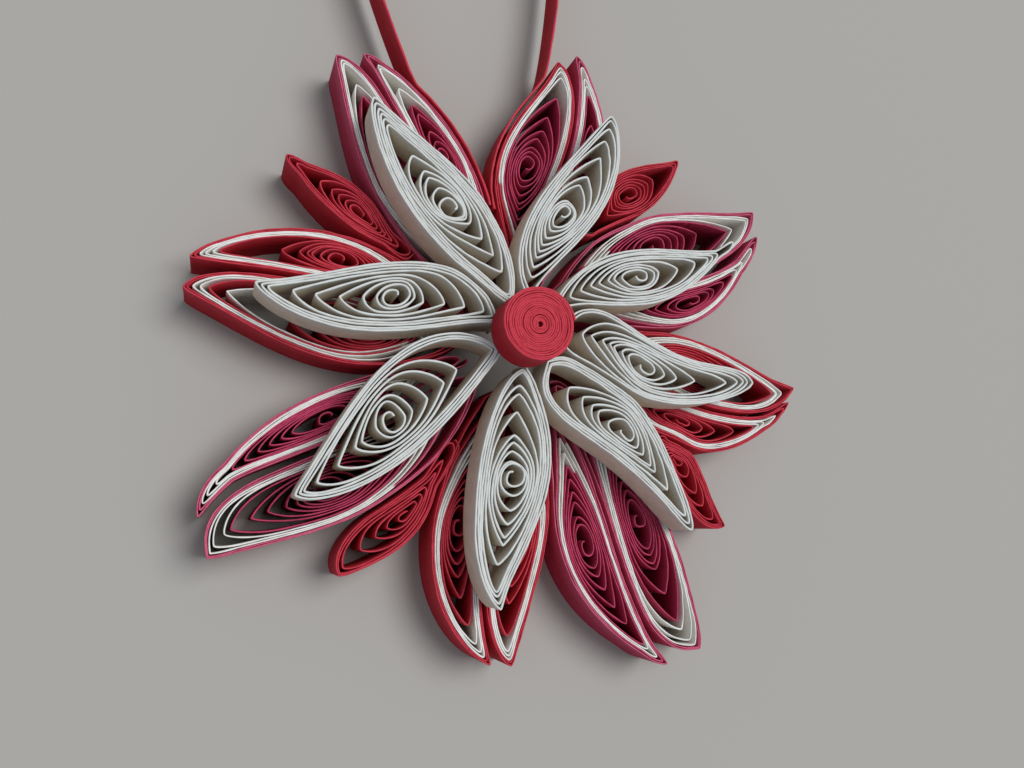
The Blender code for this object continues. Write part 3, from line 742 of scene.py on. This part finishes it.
# The stations of the petals from which and to which the legs are glued, and how many points draw each part.
LOOP_LEG_START = 0.30
LOOP_LEFT_LEAVES = 0.80
LOOP_RIGHT_LEAVES = 0.89
LOOP_LEG_POINTS = 60
LOOP_BEND_POINTS = 80
LOOP_CROWN_POINTS = 120


def bend(start, start_pull, end, end_pull):
    """(1-t)^3 start + 3 (1-t)^2 t (start + pull) + 3 (1-t) t^2 (end - pull) + t^3 end, for t from 0 to 1."""
    t = np.linspace(0.0, 1.0, LOOP_BEND_POINTS)[:, None]
    return (
        (1 - t) ** 3 * start
        + 3 * (1 - t) ** 2 * t * (start + start_pull)
        + 3 * (1 - t) * t**2 * (end - end_pull)
        + t**3 * end
    )


def glued_leg(outline, side, leaves):
    """The line of a leg along a petal's side (1 left, -1 right), and the way it goes at its end.

    It is the side's line moved out, square to itself, by a gap and half the paper.
    """
    stations = np.linspace(LOOP_LEG_START, leaves, LOOP_LEG_POINTS)
    offsets = outline.left if side > 0 else -outline.right
    line = outline.points(stations, np.interp(stations, outline.stations, offsets))
    forward = np.gradient(line, axis=0)
    forward /= np.linalg.norm(forward, axis=1)[:, None]
    outward = side * np.stack([-forward[:, 1], forward[:, 0]], axis=1)
    return line + outward * (GLUE_GAP + LOOP_THICKNESS / 2), forward[-1]


left_leg, left_forward = glued_leg(base_outlines[len(BASE_PETALS) - 1], -1, LOOP_LEFT_LEAVES)
right_leg, right_forward = glued_leg(base_outlines[0], 1, LOOP_RIGHT_LEAVES)
angle = np.linspace(math.pi, 0.0, LOOP_CROWN_POINTS)
crown = np.stack([
    LOOP_CROWN_SHIFT + LOOP_CROWN_WIDTH / 2 * np.cos(angle),
    LOOP_TOP - LOOP_CROWN_HEIGHT + LOOP_CROWN_HEIGHT * np.sin(angle),
], axis=1)
upright = np.array([0.0, LOOP_CROWN_BEND])
left_bend = bend(left_leg[-1], left_forward * LOOP_LEG_BEND, crown[0], upright)
right_bend = bend(right_leg[-1], right_forward * LOOP_LEG_BEND, crown[-1], upright)
loop_line = np.concatenate([left_leg, left_bend[1:], crown[1:-1], right_bend[:0:-1], right_leg[::-1]])
rng = np.random.default_rng(LOOP_SEED)
line, _ = walked(loop_line, np.zeros(len(loop_line)), STRIP_STEP)
mesh = strip_mesh("hanging_loop_strip", strip_grid(line, LOOP_BOTTOM, LOOP_STRIP_WIDTH, LOOP_THICKNESS, rng))
show("hanging_loop_strip", mesh, red_paper, "hanging_loop")

# The place where it is photographed: a plain pale floor, daylight from a wide sky and a soft sun on the
# right. The floor's size is in metres, the sun's softness, height and bearing in degrees.
FLOOR_SIZE = 4.0
FLOOR_COLOUR = "#A9A6A1"
FLOOR_ROUGHNESS = 0.9
SUN_STRENGTH = 2.2
SUN_SOFTNESS = 36.0
SUN_HEIGHT = 64.0
SUN_BEARING = 75.0
SKY_COLOUR = (0.86, 0.92, 1.0, 1.0)
SKY_STRENGTH = 0.40

floor_mesh = bpy.data.meshes.new("floor")
half_floor = FLOOR_SIZE / 2
floor_mesh.from_pydata(
    [(-half_floor, -half_floor, 0), (half_floor, -half_floor, 0), (half_floor, half_floor, 0),
     (-half_floor, half_floor, 0)], [], [(0, 1, 2, 3)])
floor = bpy.data.objects.new("floor", floor_mesh)
bpy.context.scene.collection.objects.link(floor)
floor_material = bpy.data.materials.new("pale_stone")
floor_material.use_nodes = True
floor_shader = floor_material.node_tree.nodes["Principled BSDF"]
floor_shader.inputs["Base Color"].default_value = linear(FLOOR_COLOUR)
floor_shader.inputs["Roughness"].default_value = FLOOR_ROUGHNESS
floor_mesh.materials.append(floor_material)

world = bpy.data.worlds.new("sky")
bpy.context.scene.world = world
world.use_nodes = True
sky = world.node_tree.nodes["Background"]
sky.inputs["Color"].default_value = SKY_COLOUR
sky.inputs["Strength"].default_value = SKY_STRENGTH

sun_light = bpy.data.lights.new("sun", "SUN")
sun_light.energy = SUN_STRENGTH
sun_light.angle = math.radians(SUN_SOFTNESS)
sun = bpy.data.objects.new("sun", sun_light)
bpy.context.scene.collection.objects.link(sun)
flat = math.cos(math.radians(SUN_HEIGHT))
toward_sun = Vector((
    flat * math.sin(math.radians(SUN_BEARING)),
    flat * math.cos(math.radians(SUN_BEARING)),
    math.sin(math.radians(SUN_HEIGHT)),
))
sun.rotation_euler = toward_sun.to_track_quat("Z", "Y").to_euler()

# The camera: held over the flower's lower left, looking down across it, with its wide lens. Its sensor and
# lens are in mm, and the nearest it draws is in metres.
CAMERA_PLACE = Vector((-40.37, -38.27, 112.27)) * MM
CAMERA_AIM = Vector((0.60, -25.75, 0.0)) * MM
PICTURE_UP_BEARING = 9.52
SENSOR_WIDTH = 36.0
LENS = 30.79
NEAREST_DRAWN = 0.005

camera_data = bpy.data.cameras.new("camera")
camera_data.sensor_width = SENSOR_WIDTH
camera_data.lens = LENS
camera_data.clip_start = NEAREST_DRAWN
camera = bpy.data.objects.new("camera", camera_data)
bpy.context.scene.collection.objects.link(camera)
back = (CAMERA_PLACE - CAMERA_AIM).normalized()
picture_up = Vector((*place(1.0, PICTURE_UP_BEARING), 0.0))
right = picture_up.cross(back).normalized()
up = back.cross(right)
camera.matrix_world = Matrix.Translation(CAMERA_PLACE) @ Matrix((right, up, back)).transposed().to_4x4()
bpy.context.scene.camera = camera

bpy.context.scene.view_settings.view_transform = "Standard"
